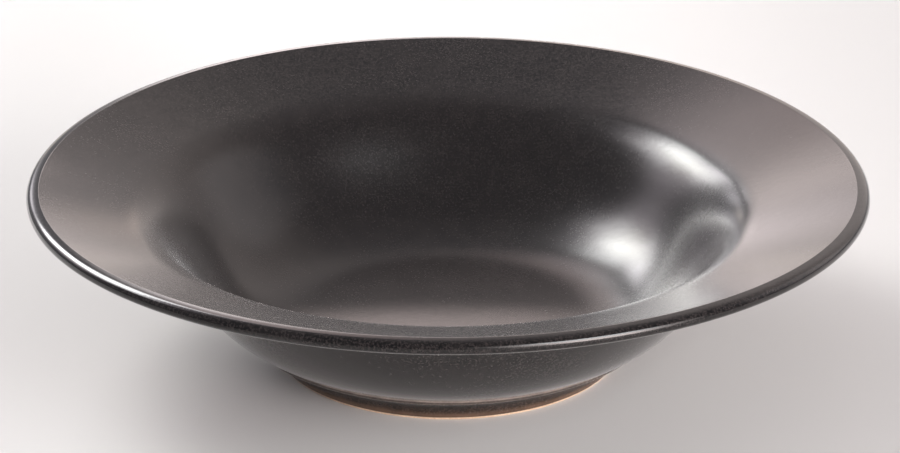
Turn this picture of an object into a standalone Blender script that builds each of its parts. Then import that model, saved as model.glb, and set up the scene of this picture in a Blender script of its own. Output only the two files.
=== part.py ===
"""Rimmed soup bowl: a turned stoneware body under a fired-on glaze.

Three pieces, all turned about +Z and standing on z = 0:
  clay_body        bowl, rim and foot ring, thrown and trimmed from one lump of clay
  glaze_coat       glaze skin over the basin, rim, lip and outer wall,
                   ending just above the bare edge of the foot ring
  underside_glaze  round patch of glaze in the recess inside the foot ring

Dimensions below are in millimetres on the finished (glazed) surface and are
turned into metres when the profiles are drawn.
"""
import math

import bmesh
import bpy

MM = 0.001

# ---------------------------------------------------------------- glaze
GLAZE_THICK = 0.45          # fired glaze
BOND_GAP = 0.30             # clearance kept between glaze and clay
GLAZE_LINE = 1.0            # height where the outside glaze stops above the foot

# ---------------------------------------------------------------- inside (radius, height, slope in degrees)
FLOOR_CENTRE = (0.0, 8.1, 0.0)
FLOOR_EDGE = (40.0, 9.6, 4.9)
COVE_LOW = (52.0, 11.8, 17.5)
COVE = (62.0, 16.9, 37.0)
WALL_LOW = (71.0, 26.2, 53.0)
WALL_HIGH = (80.0, 38.9, 51.5)
SHOULDER_IN = (85.0, 43.9, 35.5)
BREAK = (88.6, 45.9, 23.0)      # rounded shoulder between basin and rim
RIM_END = (116.55, 55.39, 18.5)  # the flat rim runs up to the lip

# ---------------------------------------------------------------- lip: a narrow land, then a rounded nose
LAND_OUT = (118.4, 55.21, -11.0)
LIP_EDGE = (120.2, 53.2)        # widest point of the bowl
LIP_BACK = (117.2, 50.98, 18.0)

# ---------------------------------------------------------------- outside (radius, height, slope in degrees)
RIM_BACK = (96.0, 44.3, 20.5)
THROAT = (90.0, 41.7, 27.0)     # hollow where the rim's back meets the wall
BACK_HIGH = (83.6, 36.6, 54.0)
BACK_MID = (78.3, 28.6, 55.5)
BACK_LOW = (68.0, 16.0, 43.0)
STEP_EDGE = (60.6, 10.85, 26.0)  # the wall ends in a tooled step
STEP_ROOT = (59.95, 10.5)
SHOULDER = (59.85, 9.3)          # lower edge of the tooled step

# ---------------------------------------------------------------- foot ring
FOOT_OUTER = 50.4           # outer radius at the bare edge
FOOT_FLAT_OUT = 49.7        # flat that the bowl stands on
FOOT_FLAT_IN = 45.6
FOOT_WAIST = (51.7, 4.9)    # hollow between shoulder and foot
FOOT_HOLLOW = (55.6, 7.6)
RECESS_RADIUS = 42.0        # recess inside the foot ring
RECESS_HEIGHT = 3.6
UNDER_GLAZE_RADIUS = 40.6

SEGMENTS = 48               # facets round the bowl
OBJECT = "rimmed_soup_bowl"


# ---------------------------------------------------------------- profile helpers
def smooth_run(stations, counts):
    """Points along a smooth curve through (radius, height, slope) stations.

    Each stretch is a cubic that meets its end slopes; counts gives the number
    of steps in each stretch. The last station is included.
    """
    points = []
    for (r0, z0, a0), (r1, z1, a1), n in zip(stations, stations[1:], counts):
        chord = math.hypot(r1 - r0, z1 - z0)
        way = 1.0 if r1 >= r0 else -1.0
        t0 = (way * chord * math.cos(math.radians(a0)), way * chord * math.sin(math.radians(a0)))
        t1 = (way * chord * math.cos(math.radians(a1)), way * chord * math.sin(math.radians(a1)))
        for i in range(n):
            u = i / n
            h00 = 2 * u ** 3 - 3 * u ** 2 + 1
            h10 = u ** 3 - 2 * u ** 2 + u
            h01 = -2 * u ** 3 + 3 * u ** 2
            h11 = u ** 3 - u ** 2
            points.append((h00 * r0 + h10 * t0[0] + h01 * r1 + h11 * t1[0],
                           h00 * z0 + h10 * t0[1] + h01 * z1 + h11 * t1[1]))
    points.append(stations[-1][:2])
    return points


def bezier(p0, p1, p2, p3, steps):
    """Points along a cubic with two handles, both ends included."""
    out = []
    for i in range(steps + 1):
        u = i / steps
        w = ((1 - u) ** 3, 3 * (1 - u) ** 2 * u, 3 * (1 - u) * u ** 2, u ** 3)
        out.append(tuple(sum(k * p[axis] for k, p in zip(w, (p0, p1, p2, p3))) for axis in (0, 1)))
    return out


def along(point, slope, reach):
    """A point moved by reach in the direction of a slope in degrees."""
    a = math.radians(slope)
    return (point[0] + reach * math.cos(a), point[1] + reach * math.sin(a))


def inset(points, depth):
    """The same run moved into the wall by depth, corner by corner.

    The runs here go outwards over the inside and down the outside, so the
    wall lies to the right of the direction of travel.
    """
    moved = []
    last = len(points) - 1
    for i, (r, z) in enumerate(points):
        normals = []
        for a, b in ((i - 1, i), (i, i + 1)):
            if a < 0 or b > last:
                continue
            dr, dz = points[b][0] - points[a][0], points[b][1] - points[a][1]
            length = math.hypot(dr, dz)
            normals.append((dz / length, -dr / length))
        nr = sum(n[0] for n in normals)
        nz = sum(n[1] for n in normals)
        size = math.hypot(nr, nz)
        nr, nz = nr / size, nz / size
        reach = depth / max(0.4, nr * normals[0][0] + nz * normals[0][1])
        moved.append((max(0.0, r + nr * reach) if r > 1e-6 else 0.0, z + nz * reach))
    return moved


# ---------------------------------------------------------------- the finished surface
def finished_surface():
    """Glazed surface from the middle of the basin floor, over the lip, to the glaze line."""
    inside = smooth_run(
        [FLOOR_CENTRE, FLOOR_EDGE, COVE_LOW, COVE, WALL_LOW, WALL_HIGH, SHOULDER_IN, BREAK, RIM_END],
        [2, 1, 2, 2, 2, 1, 2, 2])
    nose = bezier(LAND_OUT[:2], along(LAND_OUT[:2], LAND_OUT[2], 1.05),
                  along(LIP_EDGE, 90.0, 1.1), LIP_EDGE, 2)
    chin = bezier(LIP_EDGE, along(LIP_EDGE, -90.0, 1.3),
                  along(LIP_BACK[:2], LIP_BACK[2], 1.5), LIP_BACK[:2], 3)
    outside = smooth_run(
        [LIP_BACK, RIM_BACK, THROAT, BACK_HIGH, BACK_MID, BACK_LOW, STEP_EDGE],
        [2, 1, 2, 1, 2, 2])
    step = [STEP_ROOT, SHOULDER]
    foot = [FOOT_HOLLOW, FOOT_WAIST, (FOOT_OUTER + 0.6, 2.6), (FOOT_OUTER, GLAZE_LINE)]
    return inside + nose + chin[1:] + outside[1:] + step + foot


def clay_profile(surface):
    """Clay section: the finished surface less the glaze, then the bare foot and recess."""
    skin = inset(surface, GLAZE_THICK + BOND_GAP)
    foot = [
        (FOOT_FLAT_OUT - 0.05, 0.45),
        (FOOT_FLAT_OUT - 0.35, 0.0),
        (FOOT_FLAT_IN, 0.0),
        (FOOT_FLAT_IN - 0.9, 0.7),
        (FOOT_FLAT_IN - 1.8, 2.2),
        (RECESS_RADIUS, RECESS_HEIGHT),
        (0.0, RECESS_HEIGHT),
    ]
    return skin + foot


def glaze_profile(surface):
    """Glaze section: down the finished surface, and back up against the clay."""
    back = inset(surface, GLAZE_THICK)
    return surface + back[::-1]


def underside_profile():
    """Thin round patch hung under the recess ceiling."""
    top = RECESS_HEIGHT - BOND_GAP
    low = top - GLAZE_THICK
    return [
        (0.0, top),
        (UNDER_GLAZE_RADIUS - 0.5, top),
        (UNDER_GLAZE_RADIUS, top - 0.12),
        (UNDER_GLAZE_RADIUS - 0.25, low + 0.08),
        (UNDER_GLAZE_RADIUS - 0.8, low),
        (0.0, low),
    ]


# ---------------------------------------------------------------- building
def material(name, colour, roughness, coat):
    mat = bpy.data.materials.new(name)
    mat.use_nodes = True
    bsdf = mat.node_tree.nodes["Principled BSDF"]
    bsdf.inputs["Base Color"].default_value = (*colour, 1.0)
    bsdf.inputs["Roughness"].default_value = roughness
    bsdf.inputs["Metallic"].default_value = 0.0
    bsdf.inputs["Coat Weight"].default_value = coat
    mat.diffuse_color = (*colour, 1.0)
    return mat


def turned(name, profile, mat, home, parent):
    """One piece turned about Z from its half section."""
    mesh = bpy.data.meshes.new(name)
    bm = bmesh.new()
    verts = [bm.verts.new((r * MM, 0.0, z * MM)) for r, z in profile]
    for a, b in zip(verts, verts[1:]):
        bm.edges.new((a, b))
    bm.to_mesh(mesh)
    bm.free()
    obj = bpy.data.objects.new(name, mesh)
    home.objects.link(obj)
    obj.parent = parent
    mesh.materials.append(mat)

    screw = obj.modifiers.new("turn", "SCREW")
    screw.axis = "Z"
    screw.angle = math.radians(360.0)
    screw.steps = SEGMENTS
    screw.render_steps = SEGMENTS
    screw.use_merge_vertices = True
    screw.merge_threshold = 0.00001
    screw.use_normal_calculate = False
    screw.use_smooth_shade = True
    return obj


def build():
    for obj in list(bpy.data.objects):
        bpy.data.objects.remove(obj, do_unlink=True)

    home = bpy.data.collections.new(OBJECT)
    bpy.context.scene.collection.children.link(home)
    hub = bpy.data.objects.new("bowl_axis", None)   # stands on the table, at the middle of the foot
    home.objects.link(hub)

    clay = material("bare_stoneware", (0.42, 0.27, 0.18), 0.85, 0.0)
    glaze = material("charcoal_glaze", (0.035, 0.031, 0.030), 0.32, 0.3)
    under = material("charcoal_glaze_underside", (0.040, 0.035, 0.033), 0.38, 0.2)

    surface = finished_surface()
    turned("clay_body", clay_profile(surface), clay, home, hub)
    turned("glaze_coat", glaze_profile(surface), glaze, home, hub)
    turned("underside_glaze", underside_profile(), under, home, hub)


build()
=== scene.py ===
"""Looks of the rimmed soup bowl: fine turned surfaces, glaze and clay finishes,
a pale studio floor, soft light and the camera at the photograph's angle."""
import math

import bmesh
import bpy
import numpy as np
from mathutils import Matrix, Vector


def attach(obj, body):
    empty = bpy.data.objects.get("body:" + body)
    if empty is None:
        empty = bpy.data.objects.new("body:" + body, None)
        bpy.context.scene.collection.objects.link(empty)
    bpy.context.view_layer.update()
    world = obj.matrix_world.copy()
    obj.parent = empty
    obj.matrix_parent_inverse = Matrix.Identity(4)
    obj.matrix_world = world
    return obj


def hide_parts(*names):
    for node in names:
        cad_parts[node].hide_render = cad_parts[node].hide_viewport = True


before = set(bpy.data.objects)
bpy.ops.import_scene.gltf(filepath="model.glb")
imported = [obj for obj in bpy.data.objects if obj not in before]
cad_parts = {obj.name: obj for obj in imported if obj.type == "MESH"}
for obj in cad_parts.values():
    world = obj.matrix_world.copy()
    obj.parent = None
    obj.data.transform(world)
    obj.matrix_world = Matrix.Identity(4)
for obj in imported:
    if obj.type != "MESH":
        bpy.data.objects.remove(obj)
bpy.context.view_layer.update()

MM = 0.001
SEGMENTS = 256

# ------------------------------------------------------------------ the bowl's section, in millimetres
# (radius, height, slope in degrees) on the glazed surface
FLOOR_CENTRE = (0.0, 8.1, 0.0)
FLOOR_EDGE = (40.0, 9.6, 4.9)
COVE_LOW = (52.0, 11.8, 17.5)
COVE = (62.0, 16.9, 37.0)
WALL_LOW = (71.0, 26.2, 53.0)
WALL_MID = (75.0, 31.9, 56.5)
WALL_HIGH = (80.0, 38.9, 51.5)
SHOULDER_IN = (85.0, 43.9, 35.5)
BREAK = (88.6, 45.9, 23.0)
RIM_LOW = (95.0, 48.19, 18.4)
RIM_MID = (105.0, 51.52, 18.45)
RIM_END = (116.55, 55.39, 18.5)
LAND_IN = (116.63, 55.41, -4.0)   # narrow land on top of the lip, then a rounded nose
LAND_OUT = (118.4, 55.21, -11.0)
LIP_EDGE = (120.2, 53.2)
LIP_BACK = (117.2, 50.98, 18.0)
RIM_BACK = (96.0, 44.3, 20.5)
THROAT = (90.0, 41.7, 27.0)
BACK_HIGH = (83.6, 36.6, 54.0)
BACK_MID = (78.3, 28.6, 55.5)
BACK_LOW = (68.0, 16.0, 43.0)
STEP_EDGE = (60.6, 10.85, 26.0)
STEP_ROOT = (59.95, 10.5)
SHOULDER = (59.85, 9.3)
FOOT_HOLLOW = (55.6, 7.6)
FOOT_WAIST = (51.7, 4.9)
FOOT_OUTER = 50.4
GLAZE_LINE = 1.0
GLAZE_THICK = 0.45
FOOT_FLAT_OUT = 49.7
FOOT_FLAT_IN = 45.6
RECESS_RADIUS = 42.0
RECESS_HEIGHT = 3.6


def bezier(p0, p1, p2, p3, n):
    u = np.linspace(0.0, 1.0, n)[:, None]
    p0, p1, p2, p3 = (np.array(p, float) for p in (p0, p1, p2, p3))
    return (1 - u) ** 3 * p0 + 3 * (1 - u) ** 2 * u * p1 + 3 * (1 - u) * u ** 2 * p2 + u ** 3 * p3


def heading(a):
    return np.array([math.cos(math.radians(a)), math.sin(math.radians(a))])


def smooth_run(stations, n=120):
    """Curve through (radius, height, slope) stations, meeting each slope."""
    parts = []
    for a, b in zip(stations, stations[1:]):
        pa, pb = np.array(a[:2]), np.array(b[:2])
        reach = np.linalg.norm(pb - pa) / 3.0 * (1.0 if b[0] >= a[0] else -1.0)
        parts.append(bezier(pa, pa + reach * heading(a[2]), pb - reach * heading(b[2]), pb, n)[:-1])
    parts.append(np.array([stations[-1][:2]]))
    return np.vstack(parts)


def resample(points, step):
    gaps = np.linalg.norm(np.diff(points, axis=0), axis=1)
    s = np.concatenate([[0.0], np.cumsum(gaps)])
    t = np.linspace(0.0, s[-1], max(2, int(round(s[-1] / step)) + 1))
    return np.stack([np.interp(t, s, points[:, 0]), np.interp(t, s, points[:, 1])], 1)


def soften(points, reach, at_axis):
    """Rounds a run of evenly spaced points; reach gives how far, point by point, in millimetres.

    The last point stays. at_axis: the run starts on the turning axis and stays level there.
    """
    step = np.linalg.norm(points[1] - points[0])
    top = float(reach.max())
    rounds = int(math.ceil(top ** 2 / (2 * 0.45 * step ** 2)))
    k = (0.45 * (reach / top) ** 2)[1:-1, None]
    p = points.copy()
    for _ in range(rounds):
        if at_axis:
            p[0, 1] += 0.45 * 2 * (p[1, 1] - p[0, 1])
        p[1:-1] += k * (p[2:] - 2 * p[1:-1] + p[:-2])
    return p


def finished_surface(crease):
    """Glazed surface from the basin's middle over the lip to the glaze line: points and run length.

    crease: how far the inner edge of the lip is rounded, in millimetres
    """
    nose = bezier(LAND_OUT[:2], LAND_OUT[:2] + 1.05 * heading(LAND_OUT[2]), (LIP_EDGE[0], LIP_EDGE[1] + 1.1), LIP_EDGE, 80)
    chin = bezier(LIP_EDGE, (LIP_EDGE[0], LIP_EDGE[1] - 1.3), LIP_BACK[:2] + 1.5 * heading(LIP_BACK[2]), LIP_BACK[:2], 80)
    lip = np.vstack([smooth_run([RIM_END, LAND_IN, LAND_OUT]), nose[1:], chin[1:]])
    rim_end, lip_back, lip_edge = RIM_END, LIP_BACK, LIP_EDGE
    inside = smooth_run([FLOOR_CENTRE, FLOOR_EDGE, COVE_LOW, COVE, WALL_LOW, WALL_MID, WALL_HIGH,
                         SHOULDER_IN, BREAK, RIM_LOW, RIM_MID, rim_end])
    outside = smooth_run([lip_back, RIM_BACK, THROAT, BACK_HIGH, BACK_MID, BACK_LOW, STEP_EDGE])
    foot = smooth_run([(*SHOULDER, 26.0), (*FOOT_HOLLOW, 27.0), (*FOOT_WAIST, 58.0),
                       (FOOT_OUTER, GLAZE_LINE, 82.0)])
    run = np.vstack([inside, lip[1:], outside[1:], [STEP_ROOT], foot])
    marks = {"lip": lip_edge, "rim_end": rim_end[:2], "lip_back": lip_back[:2],
             "step": STEP_EDGE[:2], "root": STEP_ROOT, "shoulder": SHOULDER, "break": BREAK[:2]}
    run = resample(run, 0.06)
    at = {}
    s = np.concatenate([[0.0], np.cumsum(np.linalg.norm(np.diff(run, axis=0), axis=1))])
    for name, p in marks.items():
        at[name] = s[int(np.argmin(np.linalg.norm(run - np.array(p), axis=1)))]
    # broad curves are rounded widely, the lip and the tooled step only a little
    reach = np.full(len(run), 1.5)

    def tighten(lo, hi, value, blend):
        w = np.clip((s - lo) / blend + 1, 0, 1) * np.clip((hi - s) / blend + 1, 0, 1)
        w = w * w * (3 - 2 * w)
        reach[:] = reach * (1 - w) + value * w

    tighten(at["rim_end"], at["lip_back"], 0.16, 3.0)
    tighten(at["rim_end"] - 0.3, at["rim_end"] + 0.5, crease, 0.6)
    tighten(at["step"], s[-1], 0.6, 3.0)
    tighten(at["step"] - 0.5, at["shoulder"] + 0.6, 0.20, 0.8)
    tighten(s[-1] - 1.5, s[-1], 0.1, 1.0)
    return soften(run, reach, True), s, at


def pick(points, s, error=0.004, low=0.16, high=1.5):
    """Ring positions along the run: close where it bends, wide where it is straight."""
    d1 = np.gradient(points, s, axis=0)
    d2 = np.gradient(d1, s, axis=0)
    bend = np.abs(d1[:, 0] * d2[:, 1] - d1[:, 1] * d2[:, 0])
    width = int(0.5 / max(1e-6, s[1] - s[0]))
    bend = np.convolve(np.pad(bend, width, mode="edge"), np.ones(2 * width + 1) / (2 * width + 1), "valid")
    gap = np.clip(np.sqrt(8 * error / np.maximum(bend, 1e-6)), low, high)
    count = np.concatenate([[0.0], np.cumsum(0.5 * (1 / gap[1:] + 1 / gap[:-1]) * np.diff(s))])
    n = int(math.ceil(count[-1]))
    return np.interp(np.linspace(0, count[-1], n + 1), count, s)


def at_run(points, s, t):
    return np.stack([np.interp(t, s, points[:, 0]), np.interp(t, s, points[:, 1])], 1)


def inset(points, depth):
    d = np.gradient(points, axis=0)
    d /= np.linalg.norm(d, axis=1)[:, None]
    out = points + depth * np.stack([d[:, 1], -d[:, 0]], 1)
    out[0, 0] = 0.0
    return out


# ------------------------------------------------------------------ hand-made departures from a true circle
def warp(r, z, a):
    """The slight saddle and lean that the rim took in drying and firing; the foot stays true."""
    w = np.clip((r - 52.0) / 66.0, 0.0, 1.1) ** 2
    z = z + w * (0.22 * np.sin(a) - 0.56 * np.cos(2 * a) - 0.11 * np.sin(3 * a) - 0.13 * np.cos(4 * a))
    return r + 0 * a, z


# ------------------------------------------------------------------ turning
def turned(name, rings, values, off_centre, worn=None):
    """Closed turned mesh from a run of (radius, height) that starts and ends on the axis.

    values: {attribute name: one number per ring}
    off_centre: sideways shift of each ring
    worn: the same run with a rounder lip edge, for the stretch of rim nearest the front
    """
    rings = np.asarray(rings, float)
    n = len(rings)
    a = np.arange(SEGMENTS) * (2 * math.pi / SEGMENTS)
    verts = [(off_centre[0] * MM, 0.0, rings[0, 1] * MM)]
    body = np.repeat(rings[1:-1, None, :], SEGMENTS, axis=1)
    if worn is not None:
        w = np.clip((-np.sin(a) - 0.72) / 0.21, 0.0, 1.0)
        w = (w * w * (3 - 2 * w))[None, :, None]
        body = body * (1 - w) + np.asarray(worn, float)[1:-1, None, :] * w
    r, z = warp(body[:, :, 0], body[:, :, 1], a[None, :])
    xyz = np.stack([r * np.cos(a) + np.asarray(off_centre)[1:-1, None], r * np.sin(a), z], -1).reshape(-1, 3) * MM
    verts += [tuple(v) for v in xyz]
    verts.append((off_centre[-1] * MM, 0.0, rings[-1, 1] * MM))
    last = len(verts) - 1
    faces = []
    k = SEGMENTS
    for j in range(k):
        faces.append((0, 1 + j, 1 + (j + 1) % k))
    for i in range(n - 3):
        lo, hi = 1 + i * k, 1 + (i + 1) * k
        for j in range(k):
            j2 = (j + 1) % k
            faces.append((lo + j, hi + j, hi + j2, lo + j2))
    base = 1 + (n - 3) * k
    for j in range(k):
        faces.append((last, base + (j + 1) % k, base + j))
    mesh = bpy.data.meshes.new(name)
    mesh.from_pydata(verts, [], faces)
    mesh.update()
    mesh.shade_smooth()
    for key, per_ring in values.items():
        per_ring = np.asarray(per_ring, float)
        flat = np.concatenate([[per_ring[0]], np.repeat(per_ring[1:-1], k), [per_ring[-1]]])
        mesh.attributes.new(key, "FLOAT", "POINT").data.foreach_set("value", flat.astype(np.float32))
    obj = bpy.data.objects.new(name, mesh)
    bpy.context.scene.collection.objects.link(obj)
    return obj


def near(s, centre, half):
    return np.exp(-((s - centre) / half) ** 2)


surface, run, at = finished_surface(0.03)
worn_surface = finished_surface(0.22)[0]
picked = pick(worn_surface, run)
picked = np.unique(np.concatenate([picked, at["rim_end"] + np.array([-0.16, -0.08, -0.03, 0.02, 0.06, 0.11, 0.19])]))
outer = at_run(surface, run, picked)
worn_outer = at_run(worn_surface, run, picked)


def basin_shift(s):
    """The basin was thrown a little to one side of the rim's centre."""
    u = np.clip((s - at["break"] + 3.0) / 7.0, 0.0, 1.0)
    return -0.7 * (1.0 - u * u * (3 - 2 * u))


# glaze: thick over the flats, thin where it drew back from edges; the wide band just above the glaze line at the foot
# waist is also painted light, a lighter brown that lifts the shaded hollow there
thin_glaze_and_foot_light = (0.12 * near(picked, at["lip"] - 1.0, 1.1) + 0.20 * near(picked, at["step"], 0.5)
        + 0.30 * near(picked, at["shoulder"], 0.5) + 1.0 * near(picked, run[-1], 1.2)
        # painted light at the foot waist: brown thin-glaze colour that also brightens the shaded hollow
        + 0.38 * near(picked, run[-1] - 2.6, 2.2))
# the outside is grittier than the basin
grit = 0.42 + 0.78 * np.clip((picked - at["break"]) / 6.0, 0, 1) + 1.6 * np.clip((picked - at["lip"]) / 3.0, 0, 1)
# painted highlight: pale lines along the tooled step's corner and lower edge, where the glaze is also thin
painted_step_highlight = 0.85 * near(picked, at["root"] + 0.15, 0.36) + 0.30 * near(picked, at["shoulder"], 0.45)   # pale colour painted on the tooled step: painted highlight lines, where the glaze is also thin
# the lip is fired smoother than the flats
smooth = np.clip((picked - at["rim_end"]) / 0.5 + 0.5, 0, 1) * np.clip((at["lip"] + 2.0 - picked) / 1.0, 0, 1)
back_t = pick(surface, run, error=0.02, low=0.4, high=4.0)
back = inset(surface, GLAZE_THICK)
back = at_run(back, run, back_t)[::-1]
edge = outer[-1]
inner_edge = back[0]
bead = bezier(edge, edge + np.array([-0.02, -0.22]), inner_edge + np.array([-0.02, -0.22]), inner_edge, 7)[1:-1]
glaze_rings = np.vstack([outer, bead, back])
glaze_thin_and_foot_light = np.concatenate([thin_glaze_and_foot_light, np.full(len(bead), 1.0), np.zeros(len(back))])
glaze_smooth = np.concatenate([smooth, np.zeros(len(bead) + len(back))])
glaze = turned("glaze_coat_fine", glaze_rings, {"thin_glaze_and_foot_light": np.clip(glaze_thin_and_foot_light, 0, 1), "smooth": glaze_smooth,
                                                "grit": np.concatenate([grit, np.ones(len(bead) + len(back))]),
                                                "painted_step_highlight": np.concatenate([painted_step_highlight, np.zeros(len(bead) + len(back))])},
               np.concatenate([basin_shift(picked), np.zeros(len(bead)), basin_shift(back_t)[::-1]]),
               np.vstack([worn_outer, bead, back]))

# clay: hidden under the glaze, bare on the foot ring
clay_skin = at_run(inset(surface, GLAZE_THICK + 0.04), run, back_t)
foot_edge = clay_skin[-1]
foot = np.vstack([
    bezier(foot_edge, foot_edge + np.array([-0.02, -0.5]), (FOOT_FLAT_OUT + 0.2, 0.0), (FOOT_FLAT_OUT - 0.3, 0.0), 12)[1:],
    resample(np.array([(FOOT_FLAT_OUT - 0.3, 0.0), (FOOT_FLAT_IN + 0.3, 0.0)]), 0.5)[1:],
    bezier((FOOT_FLAT_IN + 0.3, 0.0), (FOOT_FLAT_IN - 0.5, 0.0), (FOOT_FLAT_IN - 0.9, 0.5), (FOOT_FLAT_IN - 1.3, 1.3), 10)[1:],
    bezier((FOOT_FLAT_IN - 1.3, 1.3), (FOOT_FLAT_IN - 1.9, 2.5), (RECESS_RADIUS + 0.8, RECESS_HEIGHT), (RECESS_RADIUS - 1.0, RECESS_HEIGHT), 12)[1:],
    resample(np.array([(RECESS_RADIUS - 1.0, RECESS_HEIGHT), (0.0, RECESS_HEIGHT)]), 3.0)[1:],
])
clay_rings = np.vstack([clay_skin, foot])
clay = turned("clay_body_fine", clay_rings, {"bare": (np.arange(len(clay_rings)) >= len(clay_skin)).astype(float)},
              np.concatenate([basin_shift(back_t), np.zeros(len(foot))]))

# glaze patch inside the foot ring, with a soft rounded edge
patch_r = 40.6
low = RECESS_HEIGHT - 0.30 - GLAZE_THICK
patch = np.vstack([
    resample(np.array([(0.0, RECESS_HEIGHT - 0.04), (patch_r - 0.6, RECESS_HEIGHT - 0.04)]), 3.0),
    bezier((patch_r - 0.6, RECESS_HEIGHT - 0.04), (patch_r + 0.5, RECESS_HEIGHT - 0.04), (patch_r + 0.2, low), (patch_r - 1.4, low), 14)[1:],
    resample(np.array([(patch_r - 1.4, low), (0.0, low)]), 2.0)[1:],
])
patch_thin = np.clip(near(patch[:, 0], patch_r, 1.2), 0, 1)
under = turned("underside_glaze_fine", patch, {"thin_glaze_and_foot_light": patch_thin, "grit": np.ones(len(patch))}, np.zeros(len(patch)))


# ------------------------------------------------------------------ materials
class Graph:
    """Small helper to lay out a material's nodes."""

    def __init__(self, name):
        self.mat = bpy.data.materials.new(name)
        self.mat.use_nodes = True
        self.tree = self.mat.node_tree
        self.bsdf = self.tree.nodes["Principled BSDF"]

    def node(self, kind, **inputs):
        n = self.tree.nodes.new(kind)
        for key, value in inputs.items():
            if key in n.bl_rna.properties and key not in n.inputs:
                setattr(n, key, value)
            else:
                n.inputs[key].default_value = value
        return n

    def link(self, a, b):
        self.tree.links.new(a, b)

    def noise(self, coords, scale, detail, rough=0.55):
        n = self.node("ShaderNodeTexNoise", Scale=scale, Detail=detail, Roughness=rough)
        self.link(coords, n.inputs["Vector"])
        return n.outputs["Fac"]

    def span(self, value, lo, hi, out_lo=0.0, out_hi=1.0, smooth=False):
        n = self.node("ShaderNodeMapRange")
        n.interpolation_type = "SMOOTHSTEP" if smooth else "LINEAR"
        n.inputs["From Min"].default_value = lo
        n.inputs["From Max"].default_value = hi
        n.inputs["To Min"].default_value = out_lo
        n.inputs["To Max"].default_value = out_hi
        self.link(value, n.inputs["Value"])
        return n.outputs["Result"]

    def math(self, op, a, b):
        n = self.tree.nodes.new("ShaderNodeMath")
        n.operation = op
        for i, v in enumerate((a, b)):
            if isinstance(v, (int, float)):
                n.inputs[i].default_value = v
            else:
                self.link(v, n.inputs[i])
        return n.outputs[0]

    def mix(self, fac, a, b):
        n = self.tree.nodes.new("ShaderNodeMix")
        n.data_type = "RGBA"
        self.link(fac, n.inputs["Factor"])
        for sock, v in ((n.inputs[6], a), (n.inputs[7], b)):
            if isinstance(v, tuple):
                sock.default_value = (*v, 1.0)
            else:
                self.link(v, sock)
        return n.outputs[2]


def glaze_material(name, rough_lo=0.19, rough_hi=0.28):
    g = Graph(name)
    coords = g.node("ShaderNodeTexCoord").outputs["Object"]
    thin_glaze_and_foot_light = g.node("ShaderNodeAttribute", attribute_name="thin_glaze_and_foot_light").outputs["Fac"]
    grain = g.noise(coords, 1500.0, 3.0, 0.65)
    mottle = g.noise(coords, 160.0, 4.0, 0.6)
    cloud = g.noise(coords, 28.0, 3.0, 0.5)
    specks = g.node("ShaderNodeTexVoronoi", Scale=760.0)
    g.link(coords, specks.inputs["Vector"])
    speck = g.span(specks.outputs["Distance"], 0.30, 0.12, smooth=True)
    pick_speck = g.span(g.noise(coords, 520.0, 1.0), 0.46, 0.66, smooth=True)
    speck = g.math("MULTIPLY", speck, pick_speck)

    grit = g.node("ShaderNodeAttribute", attribute_name="grit").outputs["Fac"]
    swing = g.math("MULTIPLY", g.math("SUBTRACT", grain, 0.52), g.math("MULTIPLY", grit, 4.2))
    light = g.mix(g.span(grit, 1.2, 2.8), (0.0200, 0.0164, 0.0160), (0.0330, 0.0272, 0.0262))
    base = g.mix(g.math("ADD", swing, g.span(grit, 1.2, 2.8, 0.5, 0.28)), (0.0010, 0.0008, 0.0008), light)
    base = g.mix(g.math("MULTIPLY", g.span(mottle, 0.42, 0.70), 0.30), base, (0.022, 0.0182, 0.0172))
    base = g.mix(g.math("MULTIPLY", g.math("MULTIPLY", speck, g.span(grit, 1.2, 2.8)), 0.55), base, (0.066, 0.059, 0.056))
    # brown where the glaze is thin; at the foot waist this brown is also painted light lifting the shaded hollow
    glaze_break_and_foot_light = g.math("MULTIPLY", g.span(thin_glaze_and_foot_light, 0.15, 0.95, smooth=True), g.span(mottle, 0.25, 0.65, 0.55, 1.0))
    base = g.mix(glaze_break_and_foot_light, base, (0.115, 0.070, 0.046))
    # pale colour painted along the tooled step: painted highlight lines, where the glaze is also thin
    painted_step_highlight = g.node("ShaderNodeAttribute", attribute_name="painted_step_highlight").outputs["Fac"]
    base = g.mix(g.math("MULTIPLY", painted_step_highlight, g.span(mottle, 0.30, 0.60, 0.6, 1.0)), base, (0.330, 0.270, 0.238))
    g.link(base, g.bsdf.inputs["Base Color"])

    rough = g.span(g.math("ADD", g.math("MULTIPLY", grain, 0.6), g.math("MULTIPLY", cloud, 0.4)), 0.38, 0.62, rough_lo, rough_hi)
    smooth = g.node("ShaderNodeAttribute", attribute_name="smooth").outputs["Fac"]
    rough = g.math("MULTIPLY", rough, g.span(smooth, 0.0, 1.0, 1.0, 0.30))
    g.link(rough, g.bsdf.inputs["Roughness"])
    g.bsdf.inputs["IOR"].default_value = 1.40
    g.bsdf.inputs["Metallic"].default_value = 0.0
    # the fired surface turns mirror-like where it is seen edge-on
    g.bsdf.inputs["Coat Weight"].default_value = 1.0
    g.bsdf.inputs["Coat Roughness"].default_value = 0.13
    g.bsdf.inputs["Coat IOR"].default_value = 1.14
    # a faint bloom on the satin skin, seen only at the flattest angles
    g.bsdf.inputs["Sheen Weight"].default_value = 0.11
    g.bsdf.inputs["Sheen Roughness"].default_value = 0.28

    peel = g.noise(coords, 420.0, 2.0, 0.5)
    height = g.math("ADD", g.math("MULTIPLY", peel, 0.75), g.math("MULTIPLY", grain, 0.25))
    bump = g.node("ShaderNodeBump", Strength=0.12, Distance=0.00025)
    g.link(height, bump.inputs["Height"])
    g.link(bump.outputs["Normal"], g.bsdf.inputs["Normal"])
    return g.mat


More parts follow.
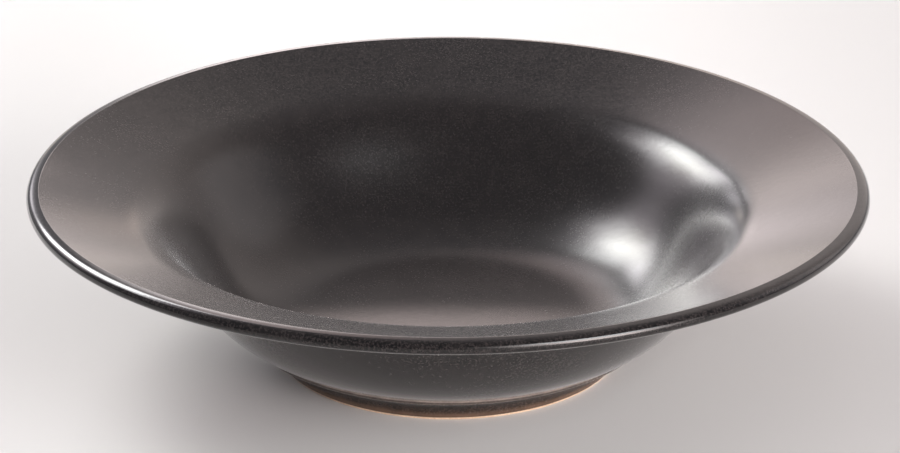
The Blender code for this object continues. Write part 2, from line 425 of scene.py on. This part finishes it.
def clay_material(name):
    g = Graph(name)
    coords = g.node("ShaderNodeTexCoord").outputs["Object"]
    grit = g.noise(coords, 2200.0, 4.0, 0.7)
    flush = g.noise(coords, 90.0, 3.0, 0.55)
    base = g.mix(g.span(grit, 0.35, 0.70), (0.47, 0.325, 0.220), (0.77, 0.610, 0.465))
    base = g.mix(g.math("MULTIPLY", g.span(flush, 0.40, 0.72), 0.5), base, (0.53, 0.345, 0.215))
    spots = g.node("ShaderNodeTexVoronoi", Scale=900.0)
    g.link(coords, spots.inputs["Vector"])
    iron = g.math("MULTIPLY", g.span(spots.outputs["Distance"], 0.22, 0.10, smooth=True),
                  g.span(g.noise(coords, 400.0, 1.0), 0.60, 0.70, smooth=True))
    base = g.mix(iron, base, (0.06, 0.035, 0.022))
    g.link(base, g.bsdf.inputs["Base Color"])
    g.link(g.span(grit, 0.3, 0.7, 0.72, 0.92), g.bsdf.inputs["Roughness"])
    bump = g.node("ShaderNodeBump", Strength=0.5, Distance=0.0002)
    g.link(grit, bump.inputs["Height"])
    g.link(bump.outputs["Normal"], g.bsdf.inputs["Normal"])
    return g.mat


glaze.data.materials.append(glaze_material("satin_charcoal_glaze"))
under.data.materials.append(glaze_material("satin_charcoal_glaze_under", 0.26, 0.38))
clay.data.materials.append(clay_material("bare_stoneware_clay"))

for piece, node, slot in ((glaze, "glaze_coat", "dark_glaze"), (clay, "clay_body", "bare_clay"),
                          (under, "underside_glaze", "underside_glaze")):
    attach(piece, "root")
    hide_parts(node)

# ------------------------------------------------------------------ floor
floor_mesh = bpy.data.meshes.new("studio_floor")
bm = bmesh.new()
bmesh.ops.create_grid(bm, x_segments=2, y_segments=2, size=3.0)
bm.to_mesh(floor_mesh)
bm.free()
floor = bpy.data.objects.new("studio_floor", floor_mesh)
bpy.context.scene.collection.objects.link(floor)
fg = Graph("pale_floor")
fcoords = fg.node("ShaderNodeTexCoord").outputs["Object"]
fbase = fg.mix(fg.noise(fcoords, 3.0, 2.0), (0.595, 0.590, 0.583), (0.625, 0.619, 0.612))
# painted shade: the floor colour is darker towards its left and right sides, standing in for the light falling off
# there
across = fg.node("ShaderNodeSeparateXYZ")
fg.link(fcoords, across.inputs[0])
bright = fg.math("MULTIPLY", fg.span(across.outputs["X"], -0.17, -0.04, 0.82, 1.0, smooth=True),
                 fg.span(across.outputs["X"], 0.07, 0.17, 1.0, 0.93, smooth=True))
fbase = fg.mix(bright, (0.0, 0.0, 0.0), fbase)
fg.link(fbase, fg.bsdf.inputs["Base Color"])
fg.bsdf.inputs["Roughness"].default_value = 0.6
fg.bsdf.inputs["Specular IOR Level"].default_value = 0.2
floor_mesh.materials.append(fg.mat)

# ------------------------------------------------------------------ light
world = bpy.data.worlds.new("studio")
bpy.context.scene.world = world
world.use_nodes = True
world.node_tree.nodes["Background"].inputs["Color"].default_value = (0.941, 0.935, 1.0, 1.0)
world.node_tree.nodes["Background"].inputs["Strength"].default_value = 0.34


def softbox(name, azimuth, elevation, distance, width, height, level, colour=(1.0, 0.985, 0.975), feather=0.35):
    """A flat diffuser facing the bowl, fading towards its edges; level is how bright its middle looks."""
    az, el = math.radians(azimuth), math.radians(elevation)
    place = Vector((math.cos(el) * math.cos(az), math.cos(el) * math.sin(az), math.sin(el))) * distance
    data = bpy.data.lights.new(name, "AREA")
    data.shape = "RECTANGLE"
    data.size = width
    data.size_y = height
    data.energy = math.pi * width * height * level
    data.color = colour
    data.use_nodes = True
    tree = data.node_tree
    lamp = next(n for n in tree.nodes if n.type == "EMISSION")
    across = tree.nodes.new("ShaderNodeSeparateXYZ")
    tree.links.new(tree.nodes.new("ShaderNodeNewGeometry").outputs["Parametric"], across.inputs[0])
    fades = []
    for axis in ("X", "Y"):
        off = tree.nodes.new("ShaderNodeMath")
        off.operation = "SUBTRACT"
        tree.links.new(across.outputs[axis], off.inputs[0])
        off.inputs[1].default_value = 0.5
        size = tree.nodes.new("ShaderNodeMath")
        size.operation = "ABSOLUTE"
        tree.links.new(off.outputs[0], size.inputs[0])
        fade = tree.nodes.new("ShaderNodeMapRange")
        fade.interpolation_type = "SMOOTHSTEP"
        fade.inputs["From Min"].default_value = 0.5
        fade.inputs["From Max"].default_value = 0.5 - feather
        tree.links.new(size.outputs[0], fade.inputs["Value"])
        fades.append(fade.outputs["Result"])
    both = tree.nodes.new("ShaderNodeMath")
    both.operation = "MULTIPLY"
    for i in (0, 1):
        tree.links.new(fades[i], both.inputs[i])
    tree.links.new(both.outputs[0], lamp.inputs["Strength"])
    obj = bpy.data.objects.new(name, data)
    obj.location = place + Vector((0, 0, 0.03))
    obj.rotation_euler = place.to_track_quat("Z", "Y").to_euler()
    obj.visible_camera = False
    bpy.context.scene.collection.objects.link(obj)
    return obj


for lamp in (
        # name, azimuth, elevation, distance, width, height, level, colour, fade at the edges
        ("key_heart", 138, 36, 1.1, 0.5, 0.45, 6.6, (0.984, 1, 0.868), 0.35),
        ("key_halo", 143, 37.5, 1.1, 0.95, 0.95, 3.1, (1, 0.888, 0.964), 0.35),
        ("key_low", 130, 29.2, 1.1, 0.45, 0.38, 9, (1, 0.997, 0.982), 0.35),
        ("key_left", 147, 40.4, 1.1, 0.55, 0.45, 9.08, (0.985, 1, 0.987), 0.35),
        ("key_high", 129, 42.5, 1.1, 0.55, 0.36, 11.7, (0.98, 1, 0.985), 0.35),
        ("key_right", 121, 21, 1.1, 0.42, 0.4, 0.2, (1, 0.9, 1), 0.35),
        ("fill_heart", -53, 11, 1.1, 0.6, 0.5, 8.82, (1, 0.863, 0.825), 0.35),
        ("fill_wide", -54, 15, 1.1, 1.1, 0.75, 5.96, (1, 0.895, 0.875), 0.35),
        ("fill_broad", -54, 17, 1.1, 1.5, 0.85, 3.8, (1, 0.935, 0.91), 0.35),
        ("fill_high", -53, 30, 1.1, 0.8, 0.4, 11.2, (0.96, 0.982, 1), 0.35),
        ("screen_strip", 94.8, 12.5, 5, 1.25, 1.9, 2.31, (1, 0.867, 0.866), 0.5),
        ("screen_strip_low", 96.5, 10, 5, 1.2, 1.6, 0.6, (1, 0.9, 0.85), 0.5),
        ("screen_strip_high", 97, 24, 5, 1.2, 1.9, 3.09, (1, 0.856, 0.813), 0.5),
        ("screen_strip_top", 99, 37, 5, 1.7, 2.3, 1.68, (1, 0.769, 0.733), 0.5),
        ("screen_left", 84.5, 12, 5, 1.4, 1, 1.04, (1, 0.78, 0.67), 0.5),
        ("screen_middle", 90, 24, 5, 1, 0.7, 4.2, (1, 0.833, 0.79), 0.5),
        ("screen_side_low", 106.8, 8, 5, 0.9, 1, 1.3, (1, 0.862, 0.75), 0.5),
        ("screen_side", 113.8, 17, 5, 1.6, 1.2, 2.9, (1, 0.95, 1), 0.5),
        ("screen_edge", 113.5, 26.5, 5, 0.8, 0.8, 2.6, (1, 0.96, 0.99), 0.5),
        ("screen_side_high", 121, 29, 5, 1.6, 1.3, 10.6, (1, 0.961, 0.994), 0.5),
        ("screen_side_top", 109, 42, 5, 1.9, 1.6, 2.58, (1, 0.889, 0.902), 0.5),
        ("screen_near", 103, 33, 1.1, 0.34, 0.3, 2.31, (1, 0.985, 1), 0.5),
        ("screen_near_edge", 100, 23.6, 1.1, 0.17, 0.22, 3.3, (1, 0.96, 0.98), 0.5),
        ("screen_near_low", 102.5, 10.9, 1.1, 0.17, 0.2, 0.6, (1, 0.95, 0.95), 0.5),
        ("screen_broad", 78, 7, 5, 6, 2.4, 0.414, (1, 0.825, 0.711), 0.5),
        ("screen_horizon", 88, 3, 5, 5.5, 0.9, 0.85, (1, 0.848, 0.743), 0.5),
        ("side_right", 18, 24, 3, 3, 2.7, 0.61, (1, 0.959, 0.992), 0.35),
        ("side_broad", 50, 30, 3, 6, 3.4, 0.579, (1, 0.835, 0.754), 0.35),
        ("overhead", 60, 70, 1.8, 2.4, 1.8, 0.135, (1, 0.85, 0.825), 0.35),
):
    softbox(*lamp)

# ------------------------------------------------------------------ camera
LIP_RING = 118.23          # the camera is placed in these units round the lip
LIP_RING_HEIGHT = 53.63
DISTANCE, ELEVATION = 7.0, math.radians(21.2)
YAW, PITCH, ROLL = (math.radians(v) for v in (0.038, -1.018, -0.029))
right = Vector((1, 0, 0))
fwd = Vector((0, math.cos(ELEVATION), -math.sin(ELEVATION)))
up = right.cross(fwd)
x1 = math.cos(YAW) * right - math.sin(YAW) * fwd
z1 = math.sin(YAW) * right + math.cos(YAW) * fwd
y2 = math.cos(PITCH) * up - math.sin(PITCH) * z1
z2 = math.sin(PITCH) * up + math.cos(PITCH) * z1
xc = math.cos(ROLL) * x1 - math.sin(ROLL) * y2
yc = math.sin(ROLL) * x1 + math.cos(ROLL) * y2
eye = (Vector((0, -math.cos(ELEVATION), math.sin(ELEVATION))) * DISTANCE * LIP_RING + Vector((0, 0, LIP_RING_HEIGHT))) * MM
cam_data = bpy.data.cameras.new("camera")
cam_data.sensor_fit = "HORIZONTAL"
cam_data.sensor_width = 36.0
cam_data.lens = 411.6 * DISTANCE * 36.0 / 900.0
cam_data.clip_start = 0.01
cam_data.clip_end = 50.0
cam = bpy.data.objects.new("camera", cam_data)
bpy.context.scene.collection.objects.link(cam)
m = Matrix.Identity(4)
for i, col in enumerate((xc, yc, -z2)):
    for j in range(3):
        m[j][i] = col[j]
for j in range(3):
    m[j][3] = eye[j]
cam.matrix_world = m
bpy.context.scene.camera = cam

view = bpy.context.scene.view_settings
view.view_transform = "Standard"
view.look = "None"
view.exposure = 0.0
view.gamma = 1.0
